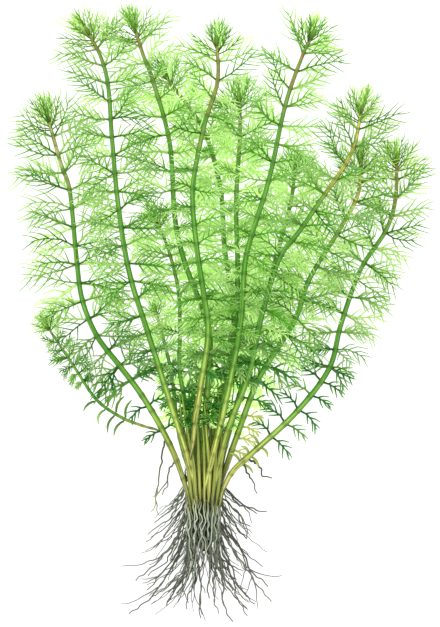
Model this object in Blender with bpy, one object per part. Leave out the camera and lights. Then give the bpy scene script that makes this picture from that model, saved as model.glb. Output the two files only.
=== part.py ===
"""A bunch of fine-leaved water milfoil, lifted with its roots and laid on a table.

The growing tips lie towards +Y and the roots towards -Y. Fourteen leafy stems fan out of one root crown.
They lie in three loose layers, and every leaf that would go through the table lies along it instead.
Lengths are in millimetres here and become metres when a mesh is made.
"""

import math
import random

import bmesh
import bpy
from mathutils import Matrix, Vector
from mathutils.bvhtree import BVHTree

MM = 0.001
CLEARANCE = 0.45
CURVE_STEPS = 12
MEASURE_POINTS = 60

# Stems: thickness, and how far apart the sections of their tubes are
STEM_FOOT_RADIUS = 1.7
STEM_TIP_RADIUS = 0.85
THIN_STEM_SHARE = 0.72
STEM_SECTION_EVERY = 17.0

# Leaves: they stand in whorls, short and bent back at the foot of a stem, long higher up, upright at the tip
WHORL_SPACING = 14.5
LEAVES_PER_WHORL = 3
LAST_WHORL_AT = 0.985
LEAF_LENGTH = 22.0
LEAF_WIDTH_SHARE = 0.46
LEAF_HALF_THICKNESS = 0.75
LEAF_WIDEST_AT = 0.56
LEAF_FOOT_INSET = 0.35
LEAF_SPINE_STEPS = 8
FOOT_LEAF_SHARE = 0.45
FULL_LEAF_FROM = 0.4
FOOT_LEAF_ANGLE = 100.0
HEAD_LEAF_ANGLE = 64.0
LEAF_BEND = (-24.0, 4.0)
LEAF_ROLL = 28.0
ANGLE_PLAY = 8.0
TURN_PLAY = 9.0
WHORL_TURN_PLAY = 12.0
LENGTH_PLAY = (0.9, 1.05)
ROSETTE_ANGLES = (16.0, 38.0, 20.0, 34.0)
ROSETTE_BEND = (0.0, 20.0)
ROSETTE_SHARE = 0.6
ROSETTE_WIDTH_SHARE = 0.32
ROSETTE_TOP = 0.992
ROSETTE_STEP = 0.006

# Ways to make room for a leaf, tried in turn: degrees further around the stem, and share of its length
LEAF_FITS = ((0, 1.0), (14, 1.0), (-14, 1.0), (28, 0.9), (-28, 0.9), (0, 0.75), (42, 0.7), (-42, 0.7),
             (0, 0.5))
LEAF_FIT_MARGIN = 0.1
LEAF_FIT_SHARE = 0.95

# Each stem: the middle line from foot to tip, and the share of its length that is bare at the foot
STEMS = {
    "leafy_stem_01": ([(-8.4, 2.3, 13.5), (-13.5, 17, 13.5), (-20.7, 32, 14.5), (-30, 47, 15),
                       (-39.6, 59.5, 15), (-49, 72, 14.5), (-55.4, 88, 14), (-58, 107, 14),
                       (-61, 137, 14), (-65, 149, 14.5), (-70.5, 169, 16.5)], 0.16),
    "leafy_stem_02": ([(-4.4, 2.2, 13.5), (-6.8, 13, 15), (-10.4, 25.5, 18), (-16.2, 43.5, 22),
                       (-25.2, 72, 28), (-33.8, 100, 32), (-38.7, 130, 33), (-41.5, 160, 33),
                       (-43.2, 183, 32), (-46.4, 196, 31.5), (-52, 207, 32)], 0.24),
    "leafy_stem_03": ([(-2.2, 2.2, 9.3), (-0.8, 20, 12), (0.6, 40, 16.5), (2.3, 69, 22), (-0.9, 83, 23),
                       (-9.2, 105, 25), (-13.5, 125, 26), (-15.8, 158, 27), (-23, 185, 29),
                       (-27.5, 197, 30), (-31.3, 209, 31)], 0.22),
    "leafy_stem_04": ([(-0.2, 2.2, 5.1), (2.4, 20, 8), (5.2, 38, 11), (11.6, 71, 14), (12.2, 90, 14),
                       (8.8, 111, 13.5), (7.1, 137, 13), (1.2, 160, 13.5), (-5.7, 172.5, 14.5),
                       (-17.5, 188, 17)], 0.26),
    "leafy_stem_05": ([(-5.4, 23.4, 19.2), (-4.3, 35, 21), (-1.9, 49, 24.5), (1.4, 72.5, 30.5),
                       (-0.5, 90.5, 33.5), (-3.6, 111, 35), (-5.4, 137, 35), (-0.5, 164.5, 35),
                       (5.6, 185, 34), (5.4, 202, 34.5)], 0.14),
    "leafy_stem_06": ([(2, 2.2, 9.3), (4.4, 18, 11), (7.2, 33, 15), (13.2, 75, 23), (14.7, 98.5, 24),
                       (14, 131.5, 24), (15.7, 161, 24.5), (15.5, 177, 26)], 0.26),
    "leafy_stem_07": ([(-0.2, 2.2, 13.5), (2.2, 12, 15), (5, 24, 17.5), (9, 40, 22), (15.3, 72.5, 31),
                       (17, 90, 34), (18.8, 109, 35.5), (28.6, 141.5, 36), (36, 175, 34),
                       (43.7, 197, 32.5), (47.6, 205, 33)], 0.24),
    "leafy_stem_08": ([(4, 2.2, 5.1), (7.6, 16, 7.5), (11.3, 30, 10), (20.5, 62, 13), (31.7, 105.5, 13),
                       (38.6, 131.5, 13.5), (40.4, 146, 15)], 0.3),
    "leafy_stem_09": ([(4, 2.2, 13.5), (6.6, 14, 15), (9.8, 28, 17.5), (19.5, 54, 25), (25.5, 81, 31),
                       (33, 105.5, 33), (41.2, 117, 33), (51.9, 132.5, 32), (65.3, 153, 30),
                       (70, 172, 30)], 0.24),
    "leafy_stem_10": ([(6.2, 2.3, 9.3), (10.4, 15, 11), (14.6, 27, 14), (24.5, 53, 20), (40, 78, 24),
                       (46.8, 97, 24.5), (60.2, 119, 23), (68.4, 134.5, 22.5), (69.8, 148, 24)], 0.22),
    "leafy_stem_11": ([(8.2, 2.4, 13.5), (12.5, 10.5, 14.5), (20.6, 18.2, 15), (40.5, 36.5, 14.5),
                       (55.8, 56.5, 13.5), (61.4, 77, 13), (70.2, 101.5, 13), (81.5, 119, 13.5),
                       (85.8, 133, 14.5), (86.4, 150, 16)], 0.13),
    "leafy_stem_12": ([(-22.3, 29.4, 12.5), (-27.5, 30.8, 12.5), (-37.6, 34.7, 12), (-49, 42.8, 12),
                       (-59, 57.5, 12), (-71, 75.5, 13)], 0.18),
    "leafy_stem_13": ([(-6.4, 2.2, 9.3), (-6, 20, 11), (-7.5, 34, 13), (-11.4, 56, 17), (-11.3, 72.5, 19),
                       (-11.9, 91.5, 20), (-16.5, 110.5, 20), (-22, 123, 21)], 0.3),
    "leafy_stem_14": ([(-4.4, 2.2, 5.1), (-9.5, 18, 7.5), (-12.8, 33, 9.5), (-15.3, 55.5, 12),
                       (-22, 82, 13)], 0.4),
}
SHORT_STEM = 130.0

# Stems whose leaves are longer or shorter than a full leaf, and their share of its length
LEAF_SHARES = {"leafy_stem_01": 1.2, "leafy_stem_12": 0.55, "leafy_stem_13": 0.8, "leafy_stem_14": 0.55}

# Root crown: place along Y, half width, half height, height of the middle, from the stems to the root end
CROWN_SECTIONS = [(1.3, 0.0, 0.0, 9.3), (1.1, 8.4, 6.2, 9.3), (-3.0, 8.7, 6.9, 8.9), (-11.0, 7.9, 6.2, 7.4),
                  (-20.0, 8.2, 5.4, 5.6), (-27.0, 6.6, 4.2, 4.2), (-31.0, 3.4, 2.4, 2.8), (-32.0, 0.0, 0.0, 2.2)]
CROWN_STRANDS = 9
CROWN_STRAND_DEPTH = 0.09

# Roots: thin, wiry and kinked, lying on the table and over each other
ROOT_RADIUS = 0.5
ROOT_TIP_SHARE = 0.55
ROOT_KINK_EVERY = 10.0
ROOT_KINK = 1.3
ROOT_KNEE = (0.3, 0.6)
ROOT_LIFT = 1.3
ROOT_LIFTS = 8
ROOT_FOOT_GAP = 0.1
STEM_ROOT_GAP = 1.2

# Each crown root: place along the crown, turn around it (0 right, 180 left, 90 on top), its tip on the table
CROWN_ROOTS = [
    (0.0, 180, (-24.1, -13.1)), (-4.0, 185, (-27.0, -18.5)), (-9.0, 183, (-32.6, -39.4)),
    (-14.0, 178, (-27.0, -37.2)), (-18.5, 186, (-27.2, -44.0)), (-23.0, 184, (-35.7, -54.5)),
    (-27.0, 188, (-18.8, -51.0)), (-29.0, 170, (-14.0, -45.5)), (-30.5, 185, (-9.5, -52.7)),
    (-31.5, 150, (-3.2, -56.7)), (-31.6, 80, (0.9, -47.7)), (-31.5, 30, (5.3, -54.5)),
    (-30.5, -5, (11.5, -58.4)), (-29.0, 12, (11.7, -44.0)), (-26.5, -6, (18.3, -55.5)),
    (-23.5, 4, (21.4, -50.4)), (-20.5, -4, (29.0, -49.3)), (-16.5, 3, (27.9, -42.0)),
    (-12.5, -3, (25.3, -33.2)), (-8.5, 2, (17.7, -20.7)), (-5.0, -4, (19.7, -14.9)),
    (-2.0, 0, (22.5, -9.6)), (0.2, 8, (27.0, -8.3)),
]

# Each stem root: its stem, place along the stem, side of it (-1 left, 1 right), and its tip on the table
STEM_ROOTS = [
    ("leafy_stem_01", 0.135, -1, (-25.2, -8.5)), ("leafy_stem_01", 0.075, -1, (-20.4, -0.6)),
    ("leafy_stem_11", 0.075, 1, (22.2, -0.1)), ("leafy_stem_11", 0.105, 1, (29.3, 6.8)),
]

LEAF_GREEN = (0.13, 0.36, 0.06)
ROOT_GREY = (0.16, 0.15, 0.12)


def clear_scene():
    """Removes the startup objects."""
    for old in list(bpy.data.objects):
        bpy.data.objects.remove(old, do_unlink=True)


def collection(name):
    """A new collection in the scene."""
    made = bpy.data.collections.new(name)
    bpy.context.scene.collection.children.link(made)
    return made


def material(name, colour, roughness):
    """A plain finish."""
    made = bpy.data.materials.new(name)
    made.use_nodes = True
    shader = made.node_tree.nodes["Principled BSDF"]
    shader.inputs["Base Color"].default_value = (*colour, 1.0)
    shader.inputs["Roughness"].default_value = roughness
    shader.inputs["Metallic"].default_value = 0.0
    return made


def smooth_line(corners, count):
    """Evenly spaced points on a smooth curve through the corners (Catmull-Rom)."""
    corners = [Vector(c) for c in corners]
    ends = [2 * corners[0] - corners[1], *corners, 2 * corners[-1] - corners[-2]]
    fine = []
    for a, b, c, d in zip(ends, ends[1:], ends[2:], ends[3:]):
        for k in range(CURVE_STEPS):
            t = k / CURVE_STEPS
            fine.append(0.5 * ((2 * b) + (c - a) * t + (2 * a - 5 * b + 4 * c - d) * t ** 2
                               + (3 * b - a - 3 * c + d) * t ** 3))
    fine.append(corners[-1])
    reach = [0.0]
    for a, b in zip(fine, fine[1:]):
        reach.append(reach[-1] + (b - a).length)
    line = []
    k = 0
    for n in range(count):
        goal = reach[-1] * n / (count - 1)
        while k < len(fine) - 2 and reach[k + 1] < goal:
            k += 1
        line.append(fine[k].lerp(fine[k + 1], (goal - reach[k]) / (reach[k + 1] - reach[k])))
    return line


def length_of(line):
    """How long a line of points is."""
    return sum((b - a).length for a, b in zip(line, line[1:]))


def point_on(line, share):
    """The point at a share of the line's length, and the direction there."""
    place = min(max(share, 0.0), 1.0) * (len(line) - 1)
    k = min(int(place), len(line) - 2)
    return line[k].lerp(line[k + 1], place - k), (line[k + 1] - line[k]).normalized()


def tube(name, line, radii, bevel_resolution):
    """A closed tube mesh along a line, made from a bevelled curve."""
    curve = bpy.data.curves.new(name, "CURVE")
    curve.dimensions = "3D"
    curve.bevel_depth = MM
    curve.bevel_resolution = bevel_resolution
    curve.use_fill_caps = True
    spline = curve.splines.new("POLY")
    spline.points.add(len(line) - 1)
    for point, place, radius in zip(spline.points, line, radii):
        point.co = (*(place * MM), 1.0)
        point.radius = radius
    guide = bpy.data.objects.new(name + "_guide", curve)
    bpy.context.scene.collection.objects.link(guide)
    bpy.context.view_layer.update()
    mesh = bpy.data.meshes.new_from_object(guide.evaluated_get(bpy.context.evaluated_depsgraph_get()))
    bpy.data.objects.remove(guide, do_unlink=True)
    shape = bmesh.new()
    shape.from_mesh(mesh)
    bmesh.ops.remove_doubles(shape, verts=shape.verts, dist=0.00001)
    shape.to_mesh(mesh)
    shape.free()
    mesh.name = name
    return mesh


def leaf_spine(foot, along, outward, angle, bend, length):
    """A function from 0 to 1 that gives the leaf's middle line: an arc that leaves the stem at an angle,
    bends by some degrees on its way, and lies down where it would go through the table."""
    step = length / LEAF_SPINE_STEPS
    points = [foot.copy()]
    for k in range(LEAF_SPINE_STEPS):
        turn = math.radians(angle + bend * (k + 0.5) / LEAF_SPINE_STEPS)
        points.append(points[-1] + (along * math.cos(turn) + outward * math.sin(turn)) * step)
    lowest = min(p.z for p in points)
    if lowest < 0.0:
        kept_drop = foot.z / (foot.z - lowest)
        for p in points[1:]:
            drop = p.z - foot.z
            level = Vector((p.x - foot.x, p.y - foot.y, 0.0))
            reach = math.sqrt(level.length ** 2 + drop ** 2 * (1 - kept_drop ** 2))
            heading = level.normalized() if level.length > 0.01 else along
            p.xyz = foot + heading * reach + Vector((0.0, 0.0, drop * kept_drop))
            p.z = max(p.z, 0.0)

    def spine(share):
        place = min(max(share, 0.0), 1.0) * LEAF_SPINE_STEPS
        k = min(int(place), LEAF_SPINE_STEPS - 1)
        return points[k].lerp(points[k + 1], place - k)

    return spine


def add_blade(shape, spine, width, side_hint, margin=0.0):
    """Adds one leaf blade to a bmesh: a thin pointed kite along the spine, from a three-sided sphere."""
    blade = bmesh.ops.create_uvsphere(shape, u_segments=3, v_segments=2, radius=1.0)["verts"]
    axis = (spine(1.0) - spine(0.0)).normalized()
    side = (side_hint - axis * side_hint.dot(axis)).normalized()
    face = side.cross(axis)
    if face.z < 0:
        face = -face
    half_width = width / 2 / math.sin(math.radians(60)) + margin
    half_thick = LEAF_HALF_THICKNESS + margin
    for vert in blade:
        share = LEAF_WIDEST_AT if abs(vert.co.z) < 0.5 else (vert.co.z + 1) / 2
        place = spine(share) + side * vert.co.y * half_width + face * vert.co.x * half_thick
        place.z = max(place.z, 0.0)
        vert.co = place * MM


def blade_tree(spine, width, side_hint, margin):
    """A search tree of one blade, a margin thicker than it is."""
    shape = bmesh.new()
    add_blade(shape, spine, width, side_hint, margin)
    tree = BVHTree.FromBMesh(shape)
    shape.free()
    return tree


def leaf_sites(line, bare, size, rng):
    """Yields each leaf's place, turn around the stem, angle to it, bend, length and width, from the foot."""
    total = length_of(line)
    whorls = max(3, round(total * (1 - bare) / WHORL_SPACING))
    for w in range(whorls):
        height = (w + 0.5) / whorls
        share = bare + (1 - bare) * height * LAST_WHORL_AT
        grown = FOOT_LEAF_SHARE + (1 - FOOT_LEAF_SHARE) * min(1.0, height / FULL_LEAF_FROM)
        angle = FOOT_LEAF_ANGLE + (HEAD_LEAF_ANGLE - FOOT_LEAF_ANGLE) * height ** 1.4
        first = (180.0 / LEAVES_PER_WHORL) * (w % 2) + rng.uniform(-WHORL_TURN_PLAY, WHORL_TURN_PLAY)
        for k in range(LEAVES_PER_WHORL):
            length = size * LEAF_LENGTH * grown * rng.uniform(*LENGTH_PLAY)
            turn = first + 360 * k / LEAVES_PER_WHORL + rng.uniform(-TURN_PLAY, TURN_PLAY)
            yield (share, turn, angle + rng.uniform(-ANGLE_PLAY, ANGLE_PLAY), rng.uniform(*LEAF_BEND), length,
                   length * LEAF_WIDTH_SHARE)
    for k, angle in enumerate(ROSETTE_ANGLES):
        length = size * LEAF_LENGTH * ROSETTE_SHARE * rng.uniform(*LENGTH_PLAY)
        turn = 360 * k / len(ROSETTE_ANGLES) + rng.uniform(-TURN_PLAY, TURN_PLAY)
        yield (ROSETTE_TOP - ROSETTE_STEP * k, turn, angle, rng.uniform(*ROSETTE_BEND), length,
               length * ROSETTE_WIDTH_SHARE)


def fitted_leaf(line, site, roll, others, own):
    """The first way to turn and shorten a leaf that clears the other stems and the stem's own leaves:
    its spine, width and side, or None when there is no room."""
    share, turn, angle, bend, length, width = site
    place, along = point_on(line, share)
    level = along.cross(Vector((0, 0, 1))).normalized()
    for aside, shorter in LEAF_FITS:
        outward = Matrix.Rotation(math.radians(turn + aside), 3, along) @ level
        side = Matrix.Rotation(math.radians(roll), 3, outward) @ along
        if angle <= max(ROSETTE_ANGLES):
            side = along.cross(outward)
        foot = place + outward * LEAF_FOOT_INSET
        spine = leaf_spine(foot, along, outward, angle, bend, length * shorter)
        tree = blade_tree(spine, width * shorter, side, CLEARANCE)
        if any(tree.overlap(other) for other in others):
            continue
        clear_of_stem = leaf_spine(foot + outward * STEM_FOOT_RADIUS, along, outward, angle, bend,
                                   length * shorter * LEAF_FIT_SHARE)
        tree = blade_tree(clear_of_stem, width * shorter, side, LEAF_FIT_MARGIN)
        if any(tree.overlap(other) for other in own):
            continue
        own.append(tree)
        return spine, width * shorter, side
    return None


def grow_leaves(name, line, bare, size, others):
    """The leaf blades of one stem as one mesh."""
    rng = random.Random(name)
    leaves = bmesh.new()
    own = []
    for site in leaf_sites(line, bare, size, rng):
        leaf = fitted_leaf(line, site, rng.uniform(-LEAF_ROLL, LEAF_ROLL), others, own)
        if leaf:
            add_blade(leaves, *leaf)
    bmesh.ops.recalc_face_normals(leaves, faces=leaves.faces)
    mesh = bpy.data.meshes.new(name + "_leaves")
    leaves.to_mesh(mesh)
    leaves.free()
    return mesh


def tree_of(mesh):
    """A search tree of a mesh."""
    shape = bmesh.new()
    shape.from_mesh(mesh)
    tree = BVHTree.FromBMesh(shape)
    shape.free()
    return tree


def build_stems(parts, helpers, finish):
    """Every leafy stem: a tapering tube with its leaf blades fused on. Returns each stem's middle line."""
    lines = {}
    tubes = {}
    for name, (corners, _) in STEMS.items():
        total = length_of(smooth_line(corners, MEASURE_POINTS))
        line = smooth_line(corners, max(6, round(total / STEM_SECTION_EVERY) + 1))
        foot = STEM_FOOT_RADIUS * (1.0 if total > SHORT_STEM else THIN_STEM_SHARE)
        radii = [foot + (STEM_TIP_RADIUS - foot) * k / (len(line) - 1) for k in range(len(line))]
        lines[name] = line
        tubes[name] = tube(name, line, radii, 1)
    stem_trees = {name: tree_of(mesh) for name, mesh in tubes.items()}
    leaf_trees = []
    for name, (_, bare) in STEMS.items():
        others = [tree for other, tree in stem_trees.items() if other != name] + leaf_trees
        leaves = grow_leaves(name, lines[name], bare, LEAF_SHARES.get(name, 1.0), others)
        leaf_trees.append(tree_of(leaves))
        blades = bpy.data.objects.new(name + "_leaves", leaves)
        blades.hide_render = True
        blades.display_type = "WIRE"
        helpers.objects.link(blades)
        tubes[name].materials.append(finish)
        stem = bpy.data.objects.new(name, tubes[name])
        parts.objects.link(stem)
        fuse = stem.modifiers.new("fuse leaves", "BOOLEAN")
        fuse.operation = "UNION"
        fuse.solver = "EXACT"
        fuse.use_self = True
        fuse.object = blades
    return lines


def crown_section(along):
    """Half width, half height and height of the middle of the root crown at a place along Y."""
    for before, after in zip(CROWN_SECTIONS, CROWN_SECTIONS[1:]):
        if along >= after[0]:
            t = (before[0] - along) / (before[0] - after[0])
            return [a + (b - a) * t for a, b in zip(before[1:], after[1:])]
    return CROWN_SECTIONS[-1][1:]


def build_crown(parts, finish):
    """The root crown: a lump of matted strands from a sphere, flat where it lies on the table."""
    shape = bmesh.new()
    rings = len(CROWN_SECTIONS) - 1
    bmesh.ops.create_uvsphere(shape, u_segments=2 * CROWN_STRANDS, v_segments=rings, radius=1.0)
    for vert in shape.verts:
        ring = round(math.acos(max(-1.0, min(1.0, vert.co.z))) / math.pi * rings)
        along, half_width, half_height, middle = CROWN_SECTIONS[ring]
        around = math.atan2(vert.co.y, vert.co.x)
        strand = 1 + CROWN_STRAND_DEPTH * math.cos(CROWN_STRANDS * around)
        vert.co = Vector((math.cos(around) * half_width * strand, along,
                          max(middle + math.sin(around) * half_height * strand, 0.0))) * MM
    bmesh.ops.recalc_face_normals(shape, faces=shape.faces)
    mesh = bpy.data.meshes.new("root_crown")
    shape.to_mesh(mesh)
    shape.free()
    mesh.materials.append(finish)
    parts.objects.link(bpy.data.objects.new("root_crown", mesh))
    return mesh


def crown_foot(along, turn):
    """Where a root leaves the crown: just off the tops of its strands."""
    half_width, half_height, middle = crown_section(along)
    off = 1 + CROWN_STRAND_DEPTH
    away = ROOT_RADIUS + CLEARANCE + ROOT_FOOT_GAP
    turn = math.radians(turn)
    return Vector((math.cos(turn) * (half_width * off + away), along,
                   max(middle + math.sin(turn) * (half_height * off + away), 2 * ROOT_RADIUS)))


def stem_foot(line, share, side):
    """Where a root leaves a stem: just off its side."""
    place, along = point_on(line, share)
    return place + along.cross(Vector((0, 0, 1))).normalized() * side * (STEM_FOOT_RADIUS + STEM_ROOT_GAP)


def root_line(foot, tip, lift, rng):
    """A kinked line from where a root starts, down to the table and out to its tip."""
    tip = Vector((*tip, ROOT_RADIUS))
    out = tip - foot
    knee = Vector((foot.x + ROOT_KNEE[0] * out.x, foot.y + ROOT_KNEE[1] * out.y, ROOT_RADIUS))
    across = Vector((tip.y - foot.y, foot.x - tip.x, 0.0)).normalized()
    kinks = max(3, round((tip - foot).length / ROOT_KINK_EVERY))
    line = [foot]
    for k in range(1, kinks + 1):
        share = k / kinks
        place = foot.lerp(knee, share).lerp(knee.lerp(tip, share), share)
        place.z += lift * math.sin(math.pi * share)
        if k < kinks:
            place += across * rng.uniform(-ROOT_KINK, ROOT_KINK)
        line.append(place)
    return line


def build_roots(parts, lines, taken, finish):
    """Each main root, laid over the ones before it where they cross."""
    feet = [(crown_foot(along, turn), tip) for along, turn, tip in CROWN_ROOTS]
    feet += [(stem_foot(lines[name], share, side), tip) for name, share, side, tip in STEM_ROOTS]
    for number, (foot, tip) in enumerate(feet, 1):
        name = f"root_{number:02d}"
        for step in range(ROOT_LIFTS):
            line = root_line(foot, tip, step * ROOT_LIFT, random.Random(name))
            radii = [ROOT_RADIUS * (1 - (1 - ROOT_TIP_SHARE) * k / (len(line) - 1)) for k in range(len(line))]
            tree = tree_of(tube(name + "_room", line, [r + CLEARANCE for r in radii], 0))
            if not any(tree.overlap(other) for other in taken):
                break
        mesh = tube(name, line, radii, 0)
        taken.append(tree_of(mesh))
        mesh.materials.append(finish)
        parts.objects.link(bpy.data.objects.new(name, mesh))


def centre_on_origin(parts, helpers):
    """Moves everything so that the origin is under the middle of the whole plant, on the table."""
    bpy.context.view_layer.update()
    graph = bpy.context.evaluated_depsgraph_get()
    corners = [Vector(c) for part in parts.objects for c in part.evaluated_get(graph).bound_box]
    low = Vector([min(c[k] for c in corners) for k in range(3)])
    high = Vector([max(c[k] for c in corners) for k in range(3)])
    shift = Vector(((low.x + high.x) / 2, (low.y + high.y) / 2, low.z))
    for thing in [*parts.objects, *helpers.objects]:
        thing.data.transform(Matrix.Translation(-shift))


def main():
    clear_scene()
    parts = collection("water_milfoil_bunch")
    helpers = collection("leaf_blades")
    green = material("leaf_green", LEAF_GREEN, 0.55)
    grey = material("root_grey", ROOT_GREY, 0.8)
    lines = build_stems(parts, helpers, green)
    stems = list(parts.objects)
    crown = build_crown(parts, grey)
    bpy.context.view_layer.update()
    graph = bpy.context.evaluated_depsgraph_get()
    taken = [tree_of(s.evaluated_get(graph).to_mesh()) for s in stems] + [tree_of(crown)]
    build_roots(parts, lines, taken, grey)
    centre_on_origin(parts, helpers)


main()
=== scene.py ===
"""The looks of a bunch of fine-leaved water milfoil, lying on a table with its roots and seen from above.

Lengths are in millimetres in the plant's own frame: its zero is on the table under the root crown, +Y runs
towards the growing tips and +Z is up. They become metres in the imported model's frame when a mesh is made.
"""

import math
import random

import bmesh
import bpy
import numpy as np
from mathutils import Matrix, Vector


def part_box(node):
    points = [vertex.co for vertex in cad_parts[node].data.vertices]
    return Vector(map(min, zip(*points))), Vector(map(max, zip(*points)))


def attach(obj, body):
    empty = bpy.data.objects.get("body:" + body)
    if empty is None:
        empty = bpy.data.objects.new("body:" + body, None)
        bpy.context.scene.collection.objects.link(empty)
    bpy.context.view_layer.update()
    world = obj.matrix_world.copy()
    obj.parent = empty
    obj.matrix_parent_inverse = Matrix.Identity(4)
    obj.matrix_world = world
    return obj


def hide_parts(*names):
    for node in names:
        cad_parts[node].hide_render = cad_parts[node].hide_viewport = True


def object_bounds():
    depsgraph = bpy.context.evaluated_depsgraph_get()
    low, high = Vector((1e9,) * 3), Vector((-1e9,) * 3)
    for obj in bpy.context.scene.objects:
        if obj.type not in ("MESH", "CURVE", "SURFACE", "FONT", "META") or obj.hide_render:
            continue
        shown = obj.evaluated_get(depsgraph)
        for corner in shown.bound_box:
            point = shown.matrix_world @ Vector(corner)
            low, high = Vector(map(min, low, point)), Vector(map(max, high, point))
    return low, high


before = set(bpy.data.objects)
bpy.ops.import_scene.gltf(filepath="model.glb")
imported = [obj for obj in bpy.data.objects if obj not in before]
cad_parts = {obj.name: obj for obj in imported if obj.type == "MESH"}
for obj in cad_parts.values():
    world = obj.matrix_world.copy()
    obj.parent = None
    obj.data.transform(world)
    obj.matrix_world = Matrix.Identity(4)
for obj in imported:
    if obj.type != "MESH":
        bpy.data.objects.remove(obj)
for startup in ("Cube", "Light", "Camera"):
    if startup in bpy.data.objects:
        bpy.data.objects.remove(bpy.data.objects[startup], do_unlink=True)
cad_low, cad_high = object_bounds()

MM = 0.001
BLACK = (0.0, 0.0, 0.0, 1.0)
WHITE = (1.0, 1.0, 1.0, 1.0)

# Which of a piece's finishes a form has
SKIN = 0
LEAF = 1

# The drawing: its size in pixels, how long one is, and where the plant's zero is in it
PICTURE_WIDE = 440
PICTURE_HIGH = 627
MM_PER_PIXEL = 0.45
ZERO_PIXEL = (205, 495)

# The root crown of the solids: its end towards the stems and its right side
CROWN_END_Y = 1.3
CROWN_RIGHT_X = 9.483
crown_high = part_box("root_crown")[1]
PLANT_ZERO = np.array([crown_high.x / MM - CROWN_RIGHT_X, crown_high.y / MM - CROWN_END_Y, 0.0])

# The box of the solids, which every piece stays inside by a margin
ROOM_MARGIN = 0.05
ROOM_LOW = np.array(cad_low) / MM - PLANT_ZERO + ROOM_MARGIN
ROOM_HIGH = np.array(cad_high) / MM - PLANT_ZERO - ROOM_MARGIN

# Stems: thickness, and the joints that bear the whorls of leaves
STEM_TAPER_SHARES = (0.0, 0.25, 0.6, 0.9, 1.0)
STEM_RADII = (1.36, 1.32, 1.1, 0.92, 0.72)
FOOT_TAPER_LENGTH = 16.0
FOOT_TAPER = (0.35, 0.75, 1.0)
END_TAPER = (0.9, 0.75, 0.5)
THIN_STEM_SHARE = 0.8
SHORT_STEM = 130.0
SIDE_SHOOT = "leafy_stem_12"
SIDE_SHOOT_TAPER = (0.66, 0.8)
SIDE_SHOOT_SPACING = 4.4
WHORL_SPACING = 8.3
LEAST_WHORLS = 3
TIP_GAP = 8.0
STEM_RING_EVERY = 0.9
STEM_LEAST_RINGS = 24
STEM_LINE_POINTS = 120
STEM_LENGTH_POINTS = 80
STEM_SIDES = 12
STEM_SKIN_SCALE = 0.03
JOINT_SWELL = 0.13
JOINT_LENGTH = 0.9
# Stems and shoots that lie lower than this get darker feet: painted shade under those above them.
DARK_FEET_BELOW = 12.0
BUD_LENGTH = 5.2
BUD_RADIUS = 1.05

# Leaves: combs of threads, short and bent back at the foot of a stem, long higher up, upright at the tip
LEAF_LENGTH = 19.5
LEAF_SHARES = {"leafy_stem_01": 1.22, "leafy_stem_12": 0.38, "leafy_stem_13": 0.8, "leafy_stem_14": 0.55}
FOOT_LEAF_SHARE = 0.55
FULL_LEAF_FROM = 0.38
FOOT_LEAF_ANGLE = 98.0
HEAD_LEAF_ANGLE = 62.0
LEAST_LEAF = 7.0
GAP_FILLED = 1.2
LOW_STEM = 25.0
CLOSE_STEM = 8.0
NO_STEM_BESIDE = 100.0
HANGING = 0.5
HANGING_DEPTH = 2.0
THREAD_RADIUS = 0.335
THREAD_POINTS = 3
RIB_RADIUS = 0.44
TIP_SHARE = 0.5
ROSETTE_LEAVES = 15
PALE_ROSETTE_LEAVES = 5
ROSETTE_DEPTH = 0.028
NEXT_LEAF_TURN = 137.5

# How low and high a leaf may lie, and how much longer one looks at the most when it is laid flat
LEAF_LOW = 0.35
LEAF_HIGH = ROOM_HIGH[2] - 0.3
MOST_LENGTHENED = 2.2

# How old leaves are at places along Y, and how wide the bunch is at others
AGE_PLACES = (15, 62, 112, 215)
AGES = (0.0, 0.16, 0.5, 0.85)
BUNCH_PLACES = (0, 20, 112, 200)
BUNCH_HALF_WIDTHS = (12, 26, 68, 68)


class Habit:
    """How one stem grows: its middle line, bare share at the foot, the colour of its upper stretch and where
    that starts, how pale its leaves are, and how yellow its foot is."""

    def __init__(self, corners, bare, upper="green", upper_from=1.0, pale=0.0, yellow=0.2):
        self.corners, self.bare = corners, bare
        self.upper, self.upper_from = upper, upper_from
        self.pale, self.yellow = pale, yellow


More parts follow.
